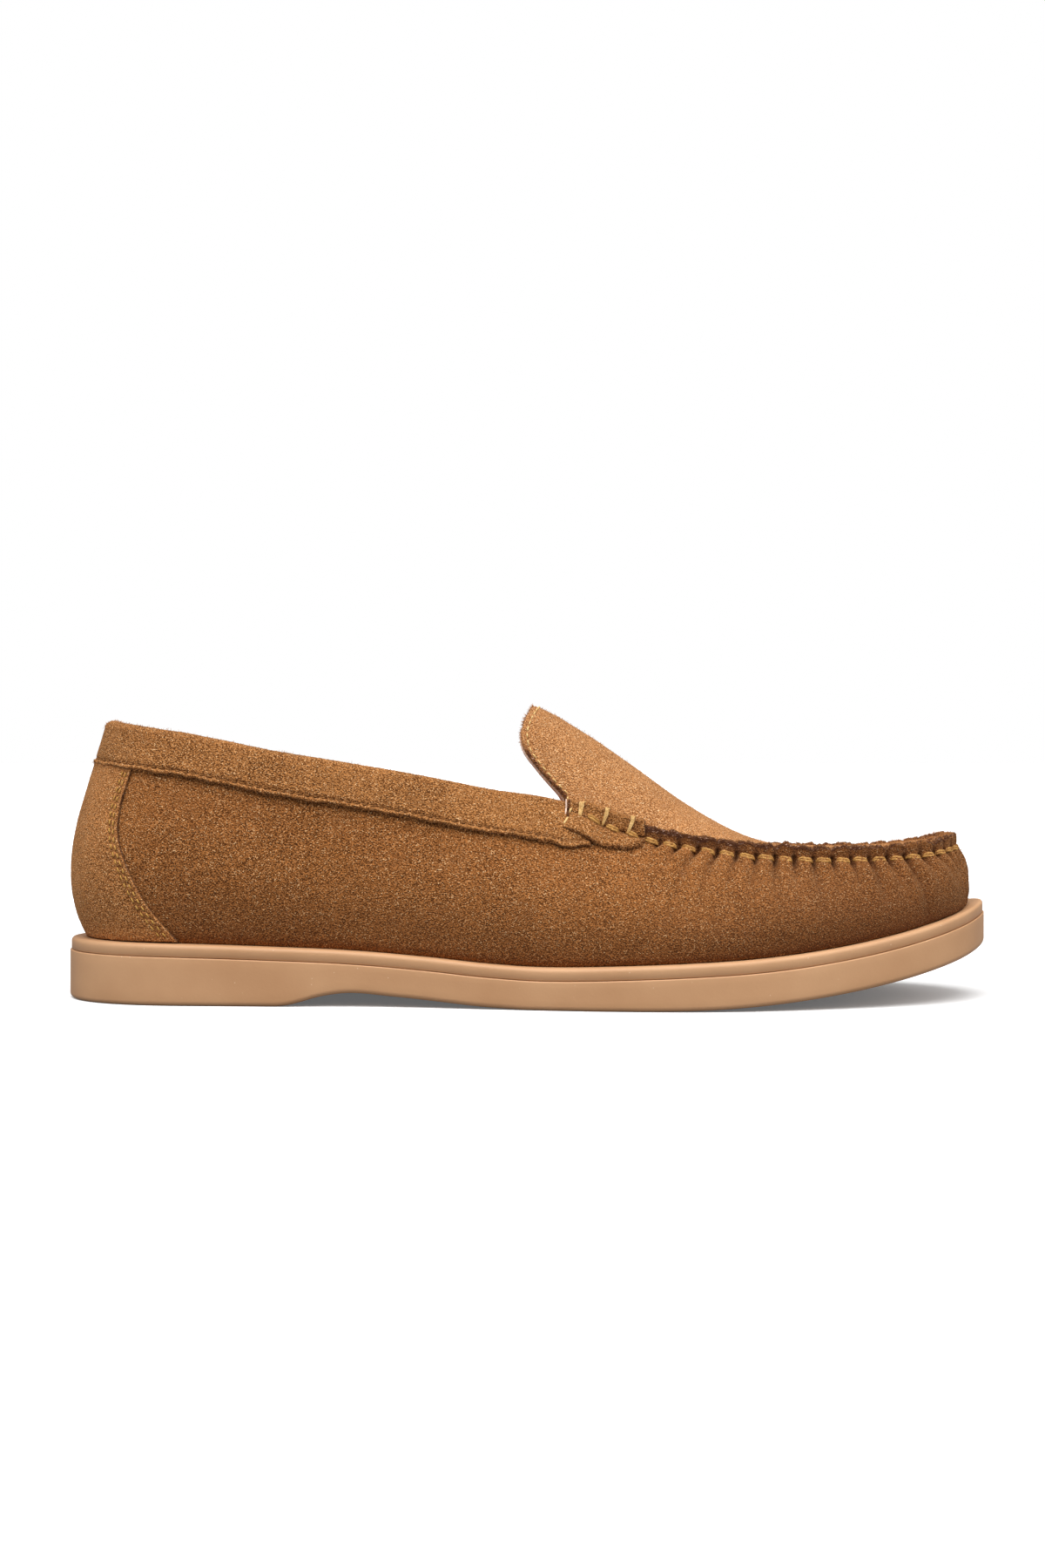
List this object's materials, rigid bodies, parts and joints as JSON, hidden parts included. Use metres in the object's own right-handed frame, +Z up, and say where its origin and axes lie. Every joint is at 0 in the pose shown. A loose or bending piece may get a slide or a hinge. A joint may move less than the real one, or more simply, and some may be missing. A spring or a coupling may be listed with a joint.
{
  "type": "moccasin",
  "caption": "Slip-on suede moccasin for the right foot, with a hand-sewn raised toe seam, a tongue, a folded collar band and a gum-rubber sole with a low heel.",
  "frame": {"origin": "on the floor, under the middle of the sole's length and width", "axes": "+X from the heel to the toe, +Y to the inner side of the foot, +Z up"},
  "size_m": [0.295, 0.1059, 0.0935],
  "materials": {
    "gum_rubber": "satin gum rubber",
    "midsole_rubber": "satin gum rubber",
    "cork": "pressed cork",
    "spring_steel": "plain steel",
    "fibre_board": "cellulose board",
    "foam": "open foam",
    "sock_leather": "smooth natural leather",
    "wall_suede": "tan suede with a short nap",
    "plug_suede": "tan suede with a short nap",
    "lining_leather": "smooth natural leather",
    "stiffener_board": "stiff heel cup",
    "patch_suede": "tan suede with a short nap",
    "trim_suede": "tan suede with a short nap",
    "waxed_thread": "waxed yellow thread",
    "dark_thread": "tan machine thread",
    "fine_thread": "yellow machine thread"
  },
  "bodies": {
    "root": {"outsole": "gum_rubber", "midsole": "midsole_rubber", "bottom_filler": "cork", "shank": "spring_steel", "insole_board": "fibre_board", "heel_pad": "foam", "sock_liner": "sock_leather", "vamp_wall": "wall_suede", "plug": "plug_suede", "plug_lining": "lining_leather", "vamp_lining": "lining_leather", "quarter_lining": "lining_leather", "heel_stiffener": "stiffener_board", "heel_patch": "patch_suede", "collar_band": "trim_suede", "outer_throat_tab": "trim_suede", "inner_throat_tab": "trim_suede", "moccasin_stitches": "waxed_thread", "whip_stitches": "waxed_thread", "collar_stitches": "dark_thread", "heel_patch_stitches": "fine_thread", "tongue_stitches": "fine_thread"}
  },
  "joints": []
}
